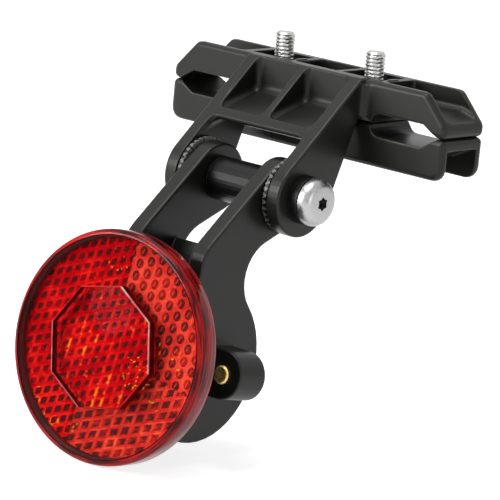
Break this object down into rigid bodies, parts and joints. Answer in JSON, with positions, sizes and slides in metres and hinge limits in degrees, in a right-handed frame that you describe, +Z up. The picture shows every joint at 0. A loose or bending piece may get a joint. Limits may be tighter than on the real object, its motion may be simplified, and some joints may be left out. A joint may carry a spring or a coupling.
{
  "type": "bicycle rear reflector on saddle rail bracket",
  "caption": "Round red reflex reflector on a swivelling arm, with a two-jaw clamp that grips both rails of a bicycle saddle.",
  "frame": {"origin": "middle of the saddle rail clamp, on the plane where its two jaws part", "axes": "+X across the bicycle along the clamp bar and the pivot bolt, +Y forward along the saddle rails, +Z up; the reflector faces -Y"},
  "size_m": [0.075, 0.0712, 0.0825],
  "materials": {
    "bracket_plastic": "fine matt texture",
    "arm_plastic": "fine matt texture",
    "black_plastic": "smooth",
    "steel": "bright plated",
    "brass": "turned",
    "lens_red": "clear red, polished"
  },
  "bodies": {
    "clamp_bracket": {"upper_clamp_bracket": "bracket_plastic", "clamp_nut_left": "steel", "clamp_nut_right": "steel", "pivot_washer": "black_plastic", "pivot_nut": "steel", "toothed_washer_left": "black_plastic", "toothed_washer_right": "black_plastic"},
    "lower_jaw": {"lower_clamp_jaw": "bracket_plastic", "clamp_washer_left": "steel", "clamp_washer_right": "steel"},
    "screw_left": {"clamp_screw_left": "steel"},
    "screw_right": {"clamp_screw_right": "steel"},
    "bolt": {"pivot_bolt": "steel"},
    "arm": {"swing_arm": "arm_plastic", "pivot_sleeve": "black_plastic", "boss_screw": "brass", "reflector_lens": "lens_red", "reflector_back_plate": "black_plastic", "reflector_stud": "steel", "reflector_washer": "steel", "reflector_nut": "steel"}
  },
  "joints": [
    {"name": "arm_tilt", "type": "hinge", "parent": "clamp_bracket", "child": "arm", "pos_m": [0, -0.0222, -0.015], "axis": [1, 0, 0], "range_deg": [-75, 75]},
    {"name": "bolt_turn", "type": "hinge", "parent": "clamp_bracket", "child": "bolt", "pos_m": [0, -0.0222, -0.015], "axis": [1, 0, 0], "continuous": true},
    {"name": "jaw_opening", "type": "slide", "parent": "clamp_bracket", "child": "lower_jaw", "axis": [0, 0, -1], "range_m": [0, 0.005]},
    {"name": "screw_left_turn", "type": "hinge", "parent": "lower_jaw", "child": "screw_left", "pos_m": [-0.0125, 0, 0], "axis": [0, 0, -1], "continuous": true},
    {"name": "screw_right_turn", "type": "hinge", "parent": "lower_jaw", "child": "screw_right", "pos_m": [0.0125, 0, 0], "axis": [0, 0, -1], "continuous": true}
  ]
}
